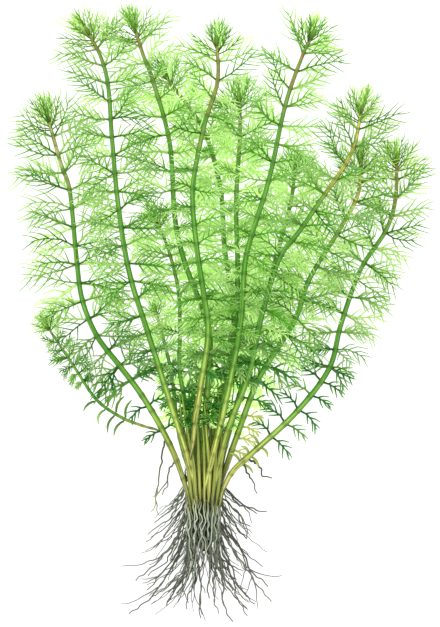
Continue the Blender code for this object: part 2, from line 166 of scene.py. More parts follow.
STEMS = {
    "leafy_stem_01": Habit([
        (-8.4, 2.3, 13.5), (-13.5, 17, 13.5), (-20.7, 32, 14.5), (-30, 47, 15), (-39.6, 59.5, 15),
        (-49, 72, 14.5), (-55.4, 88, 14), (-58, 107, 14), (-61, 137, 14), (-65, 149, 14.5),
        (-70.5, 169, 16.5)], 0.26, "cream", 0.78, yellow=0.15),
    "leafy_stem_02": Habit([
        (-4.4, 2.2, 13.5), (-6.8, 13, 15), (-10.4, 25.5, 18), (-16.2, 43.5, 22), (-25.2, 72, 28),
        (-33.8, 100, 32), (-38.7, 130, 33), (-41.5, 160, 33), (-43.2, 183, 32), (-46.4, 196, 31.5),
        (-52, 207, 32)], 0.24, "rust", 0.9, yellow=1.0),
    "leafy_stem_03": Habit([
        (-2.2, 2.2, 9.3), (-0.8, 20, 12), (0.6, 40, 16.5), (2.3, 69, 22), (-0.9, 83, 23), (-9.2, 105, 25),
        (-13.5, 125, 26), (-15.8, 158, 27), (-23, 185, 29), (-27.5, 197, 30), (-31.3, 209, 31)],
        0.22, "rust", 0.84, 0.1),
    "leafy_stem_04": Habit([
        (-0.2, 2.2, 5.1), (2.4, 20, 8), (5.2, 38, 11), (11.6, 71, 14), (12.2, 90, 14), (8.8, 111, 13.5),
        (7.1, 137, 13), (1.2, 160, 13.5), (-5.7, 172.5, 14.5), (-17.5, 188, 17)], 0.26, "rust", 0.84, 0.45),
    "leafy_stem_05": Habit([
        (-5.4, 23.4, 19.2), (-4.3, 35, 21), (-1.9, 49, 24.5), (1.4, 72.5, 30.5), (-0.5, 90.5, 33.5),
        (-3.6, 111, 35), (-5.4, 137, 35), (-0.5, 164.5, 35), (5.6, 185, 34), (5.4, 202, 34.5)],
        0.14, "rust", 0.71, yellow=0.8),
    "leafy_stem_06": Habit([
        (2, 2.2, 9.3), (4.4, 18, 11), (7.2, 33, 15), (13.2, 75, 23), (14.7, 98.5, 24), (14, 131.5, 24),
        (15.7, 161, 24.5), (15.5, 177, 26)], 0.26, "rust", 0.82, 0.2),
    "leafy_stem_07": Habit([
        (-0.2, 2.2, 13.5), (2.2, 12, 15), (5, 24, 17.5), (9, 40, 22), (15.3, 72.5, 31), (17, 90, 34),
        (18.8, 109, 35.5), (28.6, 141.5, 36), (36, 175, 34), (43.7, 197, 32.5), (47.6, 205, 33)],
        0.24, "rust", 0.8, yellow=1.0),
    "leafy_stem_08": Habit([
        (4, 2.2, 5.1), (7.6, 16, 7.5), (11.3, 30, 10), (20.5, 62, 13), (31.7, 105.5, 13),
        (38.6, 131.5, 13.5), (40.4, 146, 15)], 0.3, pale=0.35),
    "leafy_stem_09": Habit([
        (4, 2.2, 13.5), (6.6, 14, 15), (9.8, 28, 17.5), (19.5, 54, 25), (25.5, 81, 31), (33, 105.5, 33),
        (41.2, 117, 33), (51.9, 132.5, 32), (65.3, 153, 30), (70, 172, 30)], 0.24, "gold", 0.72),
    "leafy_stem_10": Habit([
        (6.2, 2.3, 9.3), (10.4, 15, 11), (14.6, 27, 14), (24.5, 53, 20), (40, 78, 24), (46.8, 97, 24.5),
        (60.2, 119, 23), (68.4, 134.5, 22.5), (69.8, 148, 24)], 0.22, "gold", 0.76, 0.1),
    "leafy_stem_11": Habit([
        (8.2, 2.4, 13.5), (12.5, 10.5, 14.5), (20.6, 18.2, 15), (40.5, 36.5, 14.5), (55.8, 56.5, 13.5),
        (61.4, 77, 13), (70.2, 101.5, 13), (81.5, 119, 13.5), (85.8, 133, 14.5), (86.4, 150, 16)],
        0.38, "rust", 0.8, yellow=0.9),
    "leafy_stem_12": Habit([
        (-22.3, 29.4, 12.5), (-27.5, 30.8, 12.5), (-37.6, 34.7, 12), (-49, 42.8, 12), (-59, 57.5, 12),
        (-71, 75.5, 13)], 0.52, pale=-0.6, yellow=0.0),
    "leafy_stem_13": Habit([
        (-6.4, 2.2, 9.3), (-6, 20, 11), (-7.5, 34, 13), (-11.4, 56, 17), (-11.3, 72.5, 19),
        (-11.9, 91.5, 20), (-16.5, 110.5, 20), (-22, 123, 21)], 0.3, pale=0.3),
    "leafy_stem_14": Habit([
        (-4.4, 2.2, 5.1), (-9.5, 18, 7.5), (-12.8, 33, 9.5), (-15.3, 55.5, 12), (-22, 82, 13)],
        0.4, pale=0.4),
}

# The two stems that leave another stem, and where on it they start
FORKS = {"leafy_stem_05": (-7.6, 13.0, 14.6), "leafy_stem_12": (-18.6, 27.4, 13.6)}

# Leaves at a stem's foot: stem, kind, shares of its length, sides (-1 left, 1 right), length, how yellow
FOOT_LEAVES = [
    ("leafy_stem_12", "hook", (0.21, 0.28, 0.35, 0.43), (-1, 1), 8.4, 0.15),
    ("leafy_stem_11", "hook", (0.085, 0.115, 0.15), (-1, 1), 6.4, 0.5),
    ("leafy_stem_11", "old", (0.19, 0.24, 0.29, 0.34, 0.385), (-1, 1), 11.0, 0.0),
    ("leafy_stem_01", "old", (0.16, 0.23), (-1, 1), 10.5, 0.0),
    ("leafy_stem_10", "old", (0.12, 0.155, 0.19, 0.225), (1,), 8.0, 0.95),
]

# The stems whose lowest joints bear roots
ROOTED_STEMS = ("leafy_stem_01", "leafy_stem_11")

# Root crown: place along Y, half width, half height and height of the middle, from the stems to the root end
CROWN_SECTIONS = np.array([(8.0, 9.0, 4.0, 9.6), (1.3, 7.9, 5.2, 9.3), (-3.0, 7.9, 6.2, 8.9),
                           (-11.0, 7.4, 5.9, 7.4), (-20.0, 7.8, 5.0, 5.6), (-27.0, 7.0, 3.8, 4.2),
                           (-34.0, 5.0, 1.8, 2.2)])
CROWN_MIDDLE_X = -0.6
CROWN_MIDDLE = np.array([0.0, -10.0, 6.0])
TOP_STRANDS = 32
DEEP_STRANDS = 22
STRAND_POINT_EVERY = 2.1
NECK_ROOTS = 40
END_ROOTS = 22
ROOT_RADIUS = 0.62
SIDE_ROOT_RADIUS = 0.34
ROOT_SKIN_SCALE = 0.1
ROOT_LOW = 0.3
ROOT_TIP_HEIGHT = 0.45

# Young shoots: how high each lies, which of them bear pale leaves, and the turns at which leaves are set
SHOOTS = 26
SHOOT_LIFTS = (14.0, 7.5, 10.5, 4.5)
SHOOT_POINTS = 44
SHOOT_LEAVES_FROM = 29.0
PALE_SHOOTS_BELOW = 9.0
SHOOT_TURNS = 3 * 360
SHOOT_LEAF_TURN = 150


def tone(red, green, blue):
    """A colour named as a screen shows it, from 0 to 255, as the light that a shader works with."""
    def light(value):
        value /= 255
        return value / 12.92 if value <= 0.04045 else ((value + 0.055) / 1.055) ** 2.4
    return (light(red), light(green), light(blue), 1.0)


def put_in_scene(name, data):
    """A new object of the scene with its data."""
    made = bpy.data.objects.new(name, data)
    bpy.context.scene.collection.objects.link(made)
    return made


class Form:
    """A small shape that many copies are made of: its points and, face by face, the points of each face."""

    def __init__(self, shape):
        shape.verts.index_update()
        self.points = np.array([v.co[:] for v in shape.verts])
        self.loops = np.array([v.index for f in shape.faces for v in f.verts])
        self.sizes = np.array([len(f.verts) for f in shape.faces])
        shape.free()


class TubeForm(Form):
    """A closed tube of radius 1 along Z from 0 to 1, with three or more rings of points. It knows which ring
    each point is on and its turn round the tube."""

    made = {}

    def __init__(self, sides, rings):
        shape = bmesh.new()
        bmesh.ops.create_cone(shape, cap_ends=True, segments=sides, radius1=1.0, radius2=1.0, depth=1.0)
        upright = [e for e in shape.edges if abs(e.verts[0].co.z - e.verts[1].co.z) > 0.5]
        bmesh.ops.subdivide_edges(shape, edges=upright, cuts=rings - 2, use_grid_fill=True)
        bmesh.ops.translate(shape, verts=shape.verts, vec=(0.0, 0.0, 0.5))
        bmesh.ops.recalc_face_normals(shape, faces=shape.faces)
        super().__init__(shape)
        self.ring = np.rint(self.points[:, 2] * (rings - 1)).astype(int)
        self.turn = np.arctan2(self.points[:, 1], self.points[:, 0])

    @classmethod
    def of(cls, sides, rings):
        """The tube with so many sides and rings, which is made only once."""
        if (sides, rings) not in cls.made:
            cls.made[sides, rings] = cls(sides, rings)
        return cls.made[sides, rings]

    def offsets(self, level, up, radii):
        """How far each point is from a middle line that has these level and up directions and radii."""
        spread = level[self.ring] * np.cos(self.turn)[:, None] + up[self.ring] * np.sin(self.turn)[:, None]
        return spread * np.asarray(radii)[self.ring][:, None]

    def skin(self, along):
        """Places on the tube's skin, for the finish: round it, and along it at each ring."""
        return np.stack([np.cos(self.turn), np.sin(self.turn), along[self.ring]], axis=1)


def reach_along(line):
    """How far along a line each of its points is."""
    return np.concatenate([[0.0], np.cumsum(np.linalg.norm(np.diff(line, axis=0), axis=1))])


def length_of(line):
    """How long a line of points is."""
    return float(np.linalg.norm(np.diff(line, axis=0), axis=1).sum())


def smooth_line(corners, count):
    """Evenly spaced points on a smooth curve through the corners (Catmull-Rom)."""
    corners = np.array(corners, float)
    ends = np.vstack([2 * corners[0] - corners[1], corners, 2 * corners[-1] - corners[-2]])
    steps_per_span = 12
    t = np.linspace(0, 1, steps_per_span, endpoint=False)[:, None]
    fine = [0.5 * ((2 * b) + (c - a) * t + (2 * a - 5 * b + 4 * c - d) * t ** 2
                   + (3 * b - a - 3 * c + d) * t ** 3)
            for a, b, c, d in zip(ends, ends[1:], ends[2:], ends[3:])]
    fine = np.vstack([*fine, corners[-1:]])
    reach = reach_along(fine)
    goals = np.linspace(0, reach[-1], count)
    return np.stack([np.interp(goals, reach, fine[:, k]) for k in range(3)], axis=1)


def unit(vectors):
    """The same vectors, each 1 long."""
    return vectors / np.maximum(np.linalg.norm(vectors, axis=-1, keepdims=True), 1e-9)


def directions(line):
    """Along, level (to the right) and up at each point of a line."""
    nearly_up = np.array([0.01, 0.02, 1.0])
    along = unit(np.gradient(line, axis=0))
    level = unit(np.cross(along, nearly_up))
    return along, level, np.cross(level, along)


def at_share(line, frames, share):
    """The point at a share of the line's length, with along, level and up there."""
    place = np.clip(share, 0, 1) * (len(line) - 1)
    steps = np.arange(len(line))

    def read(values):
        return np.stack([np.interp(place, steps, values[:, k]) for k in range(3)], axis=-1)

    return read(line), *(unit(read(f)) for f in frames)


class Growth:
    """Gathers many small forms, with what their finish needs to know at each point, into one piece."""

    MARKS = ("age", "reach", "luck", "pale", "turned", "joint", "kind", "yellow", "inside")

    def __init__(self):
        self.points, self.loops, self.sizes, self.finishes, self.skins = [], [], [], [], []
        self.marks = {name: [] for name in self.MARKS}
        self.count = 0

    def add(self, form, points, finish, skin=None, **marks):
        """Adds copies of a form. points is (copies, points of the form, 3), or (points, 3) for one copy."""
        points = np.asarray(points, float).reshape(-1, *points.shape[-2:])
        copies, each = points.shape[:2]
        starts = self.count + each * np.arange(copies)[:, None]
        self.points.append(points.reshape(-1, 3))
        self.loops.append((form.loops[None] + starts).ravel())
        self.sizes.append(np.tile(form.sizes, copies))
        self.finishes.append(np.full(copies * len(form.sizes), finish))
        self.skins.append(np.zeros((copies * each, 3)) if skin is None else skin)
        for name in self.MARKS:
            self.marks[name].append(np.broadcast_to(marks.get(name, 0.0), (copies, each)).ravel())
        self.count += copies * each

    def tube(self, line, radii, sides, finish, skin_scale=1.0, **marks):
        """Adds a closed tube along a line. A mark may be one number, or one for each point of the line."""
        form = TubeForm.of(sides, len(line))
        _, level, up = directions(line)
        points = line[form.ring] + form.offsets(level, up, radii)
        marks = {name: (np.asarray(value)[form.ring] if np.ndim(value) else value)
                 for name, value in marks.items()}
        self.add(form, points, finish, form.skin(reach_along(line) * skin_scale), **marks)

    def leaves(self, leaves, finish):
        """Adds leaves, all those of one form together."""
        by_form = {}
        for leaf in leaves:
            by_form.setdefault(leaf.form, []).append(leaf)
        for form, group in by_form.items():

            def column(name):
                return np.array([getattr(leaf, name) for leaf in group])[:, None]

            feet = column("foot")[:, 0]
            along, outward, angle, bend, length, roll, thick = (
                column(name) for name in ("along", "outward", "angle", "bend", "length", "roll", "thick"))
            share = form.middles[None, :, 0]
            ahead, aside = arc(angle, bend, share)
            away = along * ahead[..., None] + outward * aside[..., None]
            spine = feet[:, None] + away * length[..., None]
            turn = (angle + bend * np.clip(share, 0, 1))[..., None]
            tangent = along * np.cos(turn) + outward * np.sin(turn)
            inward = -along * np.sin(turn) + outward * np.cos(turn)
            across = np.cross(along, outward)
            roll = roll[..., None]
            side = inward * np.cos(roll) + across * np.sin(roll)
            face = -inward * np.sin(roll) + across * np.cos(roll)
            offsets = form.offsets[None] * thick[..., None]
            middles = form.middles[None] * length[..., None]
            points = (spine + side * (middles[..., 1:2] + offsets[..., 1:2])
                      + face * (middles[..., 2:3] + offsets[..., 2:3]) + tangent * offsets[..., 0:1])
            points = kept_in_room(laid_down(points, feet), feet)
            self.add(form, points, finish, reach=form.reach[None], inside=inside_share(feet)[:, None],
                     **{name: column(name) for name in ("age", "luck", "pale", "yellow")})

    def piece(self, name, finishes, replaces=()):
        """The piece itself, which rides on the plant and stands for some nodes."""
        points = np.clip(np.vstack(self.points), ROOM_LOW, ROOM_HIGH)
        points = (points + PLANT_ZERO) * MM
        loops = np.concatenate(self.loops)
        sizes = np.concatenate(self.sizes)
        mesh = bpy.data.meshes.new(name)
        mesh.vertices.add(len(points))
        mesh.vertices.foreach_set("co", points.astype(np.float32).ravel())
        mesh.loops.add(len(loops))
        mesh.loops.foreach_set("vertex_index", loops.astype(np.int32))
        mesh.polygons.add(len(sizes))
        mesh.polygons.foreach_set("loop_start", (np.cumsum(sizes) - sizes).astype(np.int32))
        mesh.polygons.foreach_set("material_index", np.concatenate(self.finishes).astype(np.int32))
        mesh.update(calc_edges=True)
        mesh.shade_smooth()
        for mark, values in self.marks.items():
            made = mesh.attributes.new(mark, "FLOAT", "POINT")
            made.data.foreach_set("value", np.concatenate(values).astype(np.float32))
        skin = mesh.attributes.new("skin", "FLOAT_VECTOR", "POINT")
        skin.data.foreach_set("vector", np.vstack(self.skins).astype(np.float32).ravel())
        for finish in finishes:
            mesh.materials.append(finish)
        made = put_in_scene(name, mesh)
        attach(made, "root")
        if replaces:
            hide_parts(*replaces)


class Comb(Form):
    """One leaf, flat and of length 1, with threads on both sides of its rib. middles are the middle lines in
    shares of the leaf's length (along, aside, out of the plane), and offsets the thicknesses in mm."""

    def __init__(self, threads):
        middles, offsets, reaches, loops, sizes = [], [], [], [], []
        count = 0
        for line, radii, reach in threads:
            form = TubeForm.of(3, len(line))
            along = unit(np.gradient(line, axis=0))
            aside = unit(np.cross(np.array([0.0, 0.0, 1.0]), along))
            middles.append(line[form.ring])
            offsets.append(form.offsets(aside, np.cross(along, aside), radii))
            reaches.append(reach[form.ring])
            loops.append(form.loops + count)
            sizes.append(form.sizes)
            count += len(form.points)
        self.middles = np.vstack(middles)
        self.offsets = np.vstack(offsets)
        self.reach = np.concatenate(reaches)
        self.loops = np.concatenate(loops)
        self.sizes = np.concatenate(sizes)


def thread(foot, angle, length, curl, lift, radius, reach):
    """One thread of a comb. It starts at an angle to the rib, in degrees, and curls towards the tip."""
    line = [np.array(foot, float)]
    steps = THREAD_POINTS - 1
    for k in range(steps):
        turn = math.radians(angle - curl * (k + 0.5) / steps)
        step = np.array([math.cos(turn), math.sin(turn), lift]) * length / steps
        line.append(line[-1] + step)
    taper = np.linspace(1, TIP_SHARE, THREAD_POINTS) * radius
    return np.array(line), taper, np.linspace(reach, 1.0, THREAD_POINTS)


def make_comb(rng, pairs, first, last, angles, lengths, rib_radius=RIB_RADIUS, thread_radius=THREAD_RADIUS):
    """A leaf with pairs of threads between two places on its rib. angles and lengths go from the first pair
    to the last."""
    sway = rng.uniform(-0.05, 0.05)
    rib = np.array([[0.0, 0.0, 0.0], [0.3, sway, 0.0], [0.65, 0.3 * sway, 0.0], [1.0, -sway, 0.0]])
    threads = [(rib, np.array([1.0, 0.85, 0.65, 0.35]) * rib_radius, np.array([0.0, 0.15, 0.4, 1.0]))]
    for k in range(pairs):
        share = k / max(pairs - 1, 1)
        for side in (-1, 1):
            stagger = 0.3 * side * (last - first) / pairs
            place = first + (last - first) * share + stagger + rng.uniform(-0.02, 0.02)
            angle = angles[0] + (angles[1] - angles[0]) * share + rng.uniform(-8, 8)
            length = np.interp(share, np.linspace(0, 1, len(lengths)), lengths) * rng.uniform(0.8, 1.15)
            foot = (place, float(np.interp(place, rib[:, 0], rib[:, 1])), 0.0)
            curl = side * rng.uniform(2, 38)
            lift = rng.uniform(-0.14, 0.2)
            threads.append(thread(foot, side * angle, length, curl, lift, thread_radius, 0.2 + 0.3 * place))
    return Comb(threads)


def comb_kinds():
    """The kinds of leaf that a plant bears, a few of each."""
    rng = random.Random("leaves")
    hook = np.array([[0.0, 0, 0], [0.22, 0, 0], [0.45, 0, 0], [0.7, 0, 0], [1.0, 0, 0]])
    hook_radii = np.array([0.5, 0.64, 0.7, 0.62, 0.26])
    return {
        "full": [make_comb(rng, 4, 0.22, 0.8, (52, 32), (0.4, 0.52, 0.46, 0.34)) for _ in range(8)],
        "young": [make_comb(rng, 3, 0.3, 0.74, (38, 22), (0.46, 0.46, 0.34), 0.32, 0.25) for _ in range(6)],
        "old": [make_comb(rng, 3, 0.28, 0.76, (54, 28), (0.46, 0.48, 0.36), 0.58, 0.5) for _ in range(6)],
        "hook": [Comb([(hook, hook_radii, np.array([0.0, 0.2, 0.4, 0.6, 0.9]))])],
    }


COMBS = comb_kinds()


class Leaf:
    """Where and how one leaf grows. Its angle, bend and roll are given in degrees."""

    def __init__(self, kind, foot, along, outward, angle, bend, length, roll, age, pale, luck, yellow=0.0,
                 thick=1.0):
        self.form = COMBS[kind][int(luck * 997) % len(COMBS[kind])]
        self.foot, self.along, self.outward = foot, along, outward
        self.angle, self.bend, self.roll = math.radians(angle), math.radians(bend), math.radians(roll)
        self.length, self.thick = length, thick
        self.age, self.pale, self.luck, self.yellow = age, pale, luck, yellow


def arc(angle, bend, share):
    """How far along and outward an arc of length 1 has gone at a share of it."""
    bend = np.where(np.abs(bend) < 1e-3, 1e-3, bend)
    turn = angle + bend * share
    return (np.sin(turn) - np.sin(angle)) / bend, (np.cos(angle) - np.cos(turn)) / bend


def inside_share(feet):
    """0 for what grows at the sides of the bunch and 1 for what grows in the thick of it."""
    half_width = np.interp(feet[:, 1], BUNCH_PLACES, BUNCH_HALF_WIDTHS)
    aside = np.abs(feet[:, 0] - 5 - 0.03 * feet[:, 1]) / half_width
    return np.interp(aside, (0.45, 0.85), (1.0, 0.0))


def laid_down(points, feet):
    """Leaves that would go through the table lie along it, and those that reach too high bend over, each as
    long as it was."""
    drop = points[..., 2] - feet[:, None, 2]
    bottom = np.minimum(drop.min(axis=1), -1e-6)
    top = np.maximum(drop.max(axis=1), 1e-6)
    kept_drop = np.clip((feet[:, 2] - LEAF_LOW) / -bottom, 0.02, 1.0)
    kept_rise = np.clip((LEAF_HIGH - feet[:, 2]) / top, 0.02, 1.0)
    kept = np.where(drop < 0, kept_drop[:, None], kept_rise[:, None])
    level = points[..., :2] - feet[:, None, :2]
    reach = np.linalg.norm(level, axis=2)
    longer = np.sqrt(reach ** 2 + drop ** 2 * (1 - kept ** 2)) / np.maximum(reach, 0.4)
    longer = np.where(reach < 0.4, 1.0, np.minimum(longer, MOST_LENGTHENED))
    return np.concatenate([feet[:, None, :2] + level * longer[..., None],
                           (feet[:, None, 2] + drop * kept)[..., None]], axis=2)


def kept_in_room(points, feet):
    """Leaves that would pass the sides of the solids' box, each shortened until it ends inside."""
    away = points - feet[:, None]
    over_right = (away / np.maximum(ROOM_HIGH - feet, 0.1)[:, None])[..., :2].max(axis=(1, 2))
    over_left = (away / np.minimum(ROOM_LOW - feet, -0.1)[:, None])[..., :2].max(axis=(1, 2))
    shorter = 1 / np.maximum(1.0, np.maximum(over_right, over_left))
    return feet[:, None] + away * shorter[:, None, None]


def level_roll(along, outward, angle):
    """The roll that turns the flat side up of a leaf at an angle to its stem. Both are in degrees."""
    angle = math.radians(angle)
    tangent = along * math.cos(angle) + outward * math.sin(angle)
    inward = -along * math.sin(angle) + outward * math.cos(angle)
    flat = np.cross([0.0, 0.0, 1.0], tangent)
    if np.linalg.norm(flat) < 0.05:
        return 90.0
    roll = math.degrees(math.atan2(flat @ np.cross(along, outward), flat @ inward))
    return (roll + 90) % 180 - 90


def outward_at(level, up, turn):
    """The direction away from a stem at a turn round it, in degrees from the level side."""
    turn = math.radians(turn)
    return level * math.cos(turn) + up * math.sin(turn)


def spread_sideways(turn):
    """The turn round the stem, in degrees, moved towards its two sides, as leaves are that lie on a table."""
    return turn - 25 * math.sin(math.radians(2 * turn))


def whorl_turns(number, count, rng):
    """The turns round the stem, in degrees, of a whorl's leaves: one to each side, two hanging below, and one
    leaning up on a side in turn, so that the stem stays in sight from above."""
    turns = [rng.uniform(-24, 12), 180 - rng.uniform(-24, 12), 205 + rng.uniform(0, 30),
             335 - rng.uniform(0, 30), rng.uniform(20, 48)]
    return [180 - turn if number % 2 else turn for turn in turns[:count]]


STEM_LINES = {name: smooth_line(habit.corners, STEM_LINE_POINTS) for name, habit in STEMS.items()}


def gap_beside(name, place, outward, lower_than=math.inf):
    """How far it is from a place on a stem to the next stem on the side that a leaf grows to. Only the stems
    that are lower than a height there are looked at."""
    gaps = [NO_STEM_BESIDE]
    for other, line in STEM_LINES.items():
        nearest = line[np.argmin(np.abs(line[:, 1] - place[1]))]
        gap = (nearest[0] - place[0]) * math.copysign(1.0, outward[0])
        level_with_it = abs(nearest[1] - place[1]) < 3.0
        if other != name and level_with_it and gap > 2.5 and nearest[2] < lower_than:
            gaps.append(gap)
    return min(gaps)


def over_a_stem(name, leaf):
    """Whether a leaf that hangs from a stem would lie over a lower stem close beside it."""
    return gap_beside(name, leaf.foot, leaf.outward, leaf.foot[2] - HANGING_DEPTH) < CLOSE_STEM


def age_at(name, place, height):
    """0 for the oldest leaves and 1 for the youngest, at a stem's tip and far up the bunch. The side shoot
    low on the left is young all over."""
    if name == SIDE_SHOOT:
        return 0.1 + 0.85 * height
    by_height = float(np.interp(height, (0.72, 1.0), (0.0, 0.9)))
    return max(float(np.interp(place[1], AGE_PLACES, AGES)), by_height)


def whorls_on(name, habit, total):
    """The length of a stem that bears whorls, and how many whorls it bears."""
    stretch = total * (1 - TIP_GAP / total - habit.bare)
    spacing = SIDE_SHOOT_SPACING if name == SIDE_SHOOT else WHORL_SPACING
    return stretch, max(LEAST_WHORLS, round(stretch / spacing))


class LeafyStem:
    """A stem as its leaves need it: its name and habit, its middle line, and the directions along that."""

    def __init__(self, name, habit, line):
        self.name = name
        self.habit = habit
        self.line = line
        self.frames = directions(line)
        self.total = length_of(line)
        self.size = LEAF_SHARES.get(name, 1.0)
        self.rosette_size = min(max(self.size, 0.6), 1.0)

    def at(self, share):
        """The point at a share of the stem's length, with along, level and up there."""
        return at_share(self.line, self.frames, share)

    def at_whorl(self, height):
        """The same at a height on the stem: 0 where its bare foot ends and 1 at its highest whorl."""
        reach = 1 - TIP_GAP / self.total
        return self.at(self.habit.bare + (reach - self.habit.bare) * height)


def leaf_on(stem, height, turn, pale, rng, lowest=False):
    """A leaf of a whorl at a height on a stem, turned so far round it. The lowest leaves lie on the table
    under their neighbours, so that they may be long, and are pale all along."""
    place, along, level, up = stem.at_whorl(height)
    outward = outward_at(level, up, turn)
    lean = (HEAD_LEAF_ANGLE - FOOT_LEAF_ANGLE) * height ** 1.5
    angle = FOOT_LEAF_ANGLE + lean + rng.uniform(-27, 20)
    bend = rng.uniform(-6, 44) if height < 0.75 else rng.uniform(-30, 24)
    roll = level_roll(along, outward, angle + bend / 2) + rng.uniform(-26, 26)
    grown = FOOT_LEAF_SHARE + (1 - FOOT_LEAF_SHARE) * min(1.0, height / FULL_LEAF_FROM)
    length = stem.size * LEAF_LENGTH * grown * rng.uniform(0.82, 1.1)
    age = age_at(stem.name, place, height)
    if not lowest:
        length = min(length, max(LEAST_LEAF, GAP_FILLED * gap_beside(stem.name, place, outward)))
        pale *= float(np.interp(age, (0.1, 0.3), (0.0, 1.0)))
    pale = min(1.0, max(0.0, pale + rng.uniform(-0.15, 0.15)))
    thick = (0.85 + 0.15 * min(stem.size, 1.0)) * (1 + (0.9 if lowest else 0.5) * pale)
    kind = "old" if age < 0.17 and not lowest else "full"
    return Leaf(kind, place + outward * 0.5, along, outward, angle, bend, length, roll, age, pale,
                rng.random(), thick=thick)


def whorl_leaves(stem, rng):
    """Yields the leaves of every whorl of a stem, from the foot up, and in the thick of the bunch the pale
    ones that hang between two whorls. One that would hang over a lower stem close by is left out."""
    _, whorls = whorls_on(stem.name, stem.habit, stem.total)
    for w in range(whorls):
        height = (w + 1) / whorls
        place = stem.at_whorl(height)[0]
        age = age_at(stem.name, place, height)
        count = 3 if age < 0.05 else 4 if age < 0.1 or age > 0.72 else 5
        for turn in whorl_turns(w, count, rng):
            under = max(0.0, -math.sin(math.radians(turn)))
            leaf = leaf_on(stem, height, turn, stem.habit.pale + 1.3 * under, rng)
            if under < HANGING or not over_a_stem(stem.name, leaf):
                yield leaf
        if inside_share(place[None])[0] > 0.2 and place[2] < LOW_STEM:
            for turn in (rng.uniform(200, 250), rng.uniform(290, 340)):
                leaf = leaf_on(stem, height - 0.5 / whorls, turn, 1.0, rng, lowest=True)
                if not over_a_stem(stem.name, leaf):
                    yield leaf


def rosette_leaves(stem, rng):
    """Yields the upright young leaves at the tip of a stem: a cone of them, and pale ones under it."""
    size = stem.rosette_size
    front = round(ROSETTE_LEAVES * size)
    for k in range(front + PALE_ROSETTE_LEAVES):
        behind = k >= front
        ring = (k - front + 0.5) / PALE_ROSETTE_LEAVES if behind else k / (front - 1)
        place, along, level, up = stem.at(1.0 - ROSETTE_DEPTH * ring)
        turn = -rng.uniform(15, 165) if behind else spread_sideways(NEXT_LEAF_TURN * k + rng.uniform(-12, 12))
        outward = outward_at(level, up, turn)
        angle = 3 + 74 * ring + rng.uniform(-7, 7)
        roll = level_roll(along, outward, angle) + rng.uniform(-28, 28)
        length = size * LEAF_LENGTH * (0.6 + 0.2 * ring) * rng.uniform(0.86, 1.12)
        bend = rng.uniform(-30, 6)
        pale = 1.0 if behind else max(0.0, 0.3 * stem.habit.pale)
        yield Leaf("young", place + outward * 0.3, along, outward, angle, bend, length, roll, 1.0, pale,
                   rng.random(), thick=1.7 if behind else 1.0)


def foot_leaves(stem, rng):
    """Yields the leaves of their own kind at the foot of a stem."""
    for name, kind, shares, sides, length, yellow in FOOT_LEAVES:
        if name != stem.name:
            continue
        for share in shares:
            place, along, level, up = stem.at(share)
            for side in sides:
                outward = unit(level * side + up * rng.uniform(-0.2, 0.4))
                angle = (56 if kind == "hook" else 76) + rng.uniform(-12, 12)
                bend = rng.uniform(60, 95) if kind == "hook" else rng.uniform(10, 50)
                roll = level_roll(along, outward, angle + bend / 2) + rng.uniform(-10, 10)
                yield Leaf(kind, place + outward * 0.9, along, outward, angle, bend,
                           length * rng.uniform(0.85, 1.12), roll, 0.05, 0.0, rng.random(), yellow)


def into_crown(name, corners):
    """A stem's corners continued down to what it grows from: another stem, or the inside of the crown."""
    if name in FORKS:
        return [FORKS[name], *corners]
    x, _, z = corners[0]
    deep = -5.0 - 4.0 * abs(math.sin(2.6 * x + z))
    return [(x * 0.72, deep, z * 0.86 - 1.4), (x * 0.84, -3.5, z), *corners]


def upper_share(habit, share):
    """How far the upper stretch of a stem has turned from green, along it."""
    if habit.upper == "green":
        return np.zeros_like(share)
    return np.clip((share - habit.upper_from) / 0.12, 0, 1)


UPPER_CODES = {"green": 0.0, "rust": 0.33, "gold": 0.66, "cream": 1.0}


def joint_marks(name, habit, total, along_mm):
    """1 on the joints of a stalk and 0 well away from them."""
    stretch, whorls = whorls_on(name, habit, total)
    spacing = stretch / whorls
    from_joint = (along_mm - total * habit.bare) / spacing
    return np.exp(-((from_joint - np.rint(from_joint)) * spacing / JOINT_LENGTH) ** 2)


def add_stalk(growth, name, habit, total, rings, rng):
    """The stalk of a stem: it tapers, swells at its joints and starts thin inside what it grows from."""
    stalk = smooth_line(into_crown(name, habit.corners), rings)
    before = length_of(stalk) - total
    along_mm = np.linspace(-before, total, len(stalk))
    share = np.clip(along_mm / total, 0, 1)
    joint = joint_marks(name, habit, total, along_mm)
    radii = np.interp(share, STEM_TAPER_SHARES, STEM_RADII) * (1 + JOINT_SWELL * joint)
    # Stems that lie low get a dark foot: painted shade under the stems above them.
    if habit.corners[0][2] < DARK_FEET_BELOW:
        joint = np.maximum(joint, np.interp(along_mm, (2.0, 20.0), (1.5, 0.0)))
    radii *= 1.0 if total > SHORT_STEM else THIN_STEM_SHARE
    radii *= np.interp(along_mm, (-before, 0.0, FOOT_TAPER_LENGTH), FOOT_TAPER)
    if name == SIDE_SHOOT:
        radii *= np.interp(share, (0, 1), SIDE_SHOOT_TAPER)
    radii[-3:] *= END_TAPER
    # A stalk's age mark is how far it runs into the crown; the skin is painted darker there as shade.
    growth.tube(stalk, radii, STEM_SIDES, SKIN, STEM_SKIN_SCALE, age=np.clip(-along_mm / 7, 0, 1),
                luck=rng.random(), pale=habit.pale, turned=upper_share(habit, share), joint=joint,
                kind=UPPER_CODES[habit.upper], reach=share, yellow=habit.yellow)


def add_bud(growth, stem):
    """The closed bud at the tip of a stem."""
    bud = np.linspace(0, 1, 7)
    line = stem.line[-1] + stem.frames[0][-1] * (BUD_LENGTH * stem.rosette_size * bud[:, None] - 1.2)
    radii = BUD_RADIUS * stem.rosette_size * np.sin(np.pi * (0.12 + 0.85 * bud)) ** 0.8 + 0.12
    growth.tube(line, radii, 6, LEAF, age=1.0, reach=bud * 0.35, joint=1.0 - 0.6 * bud)


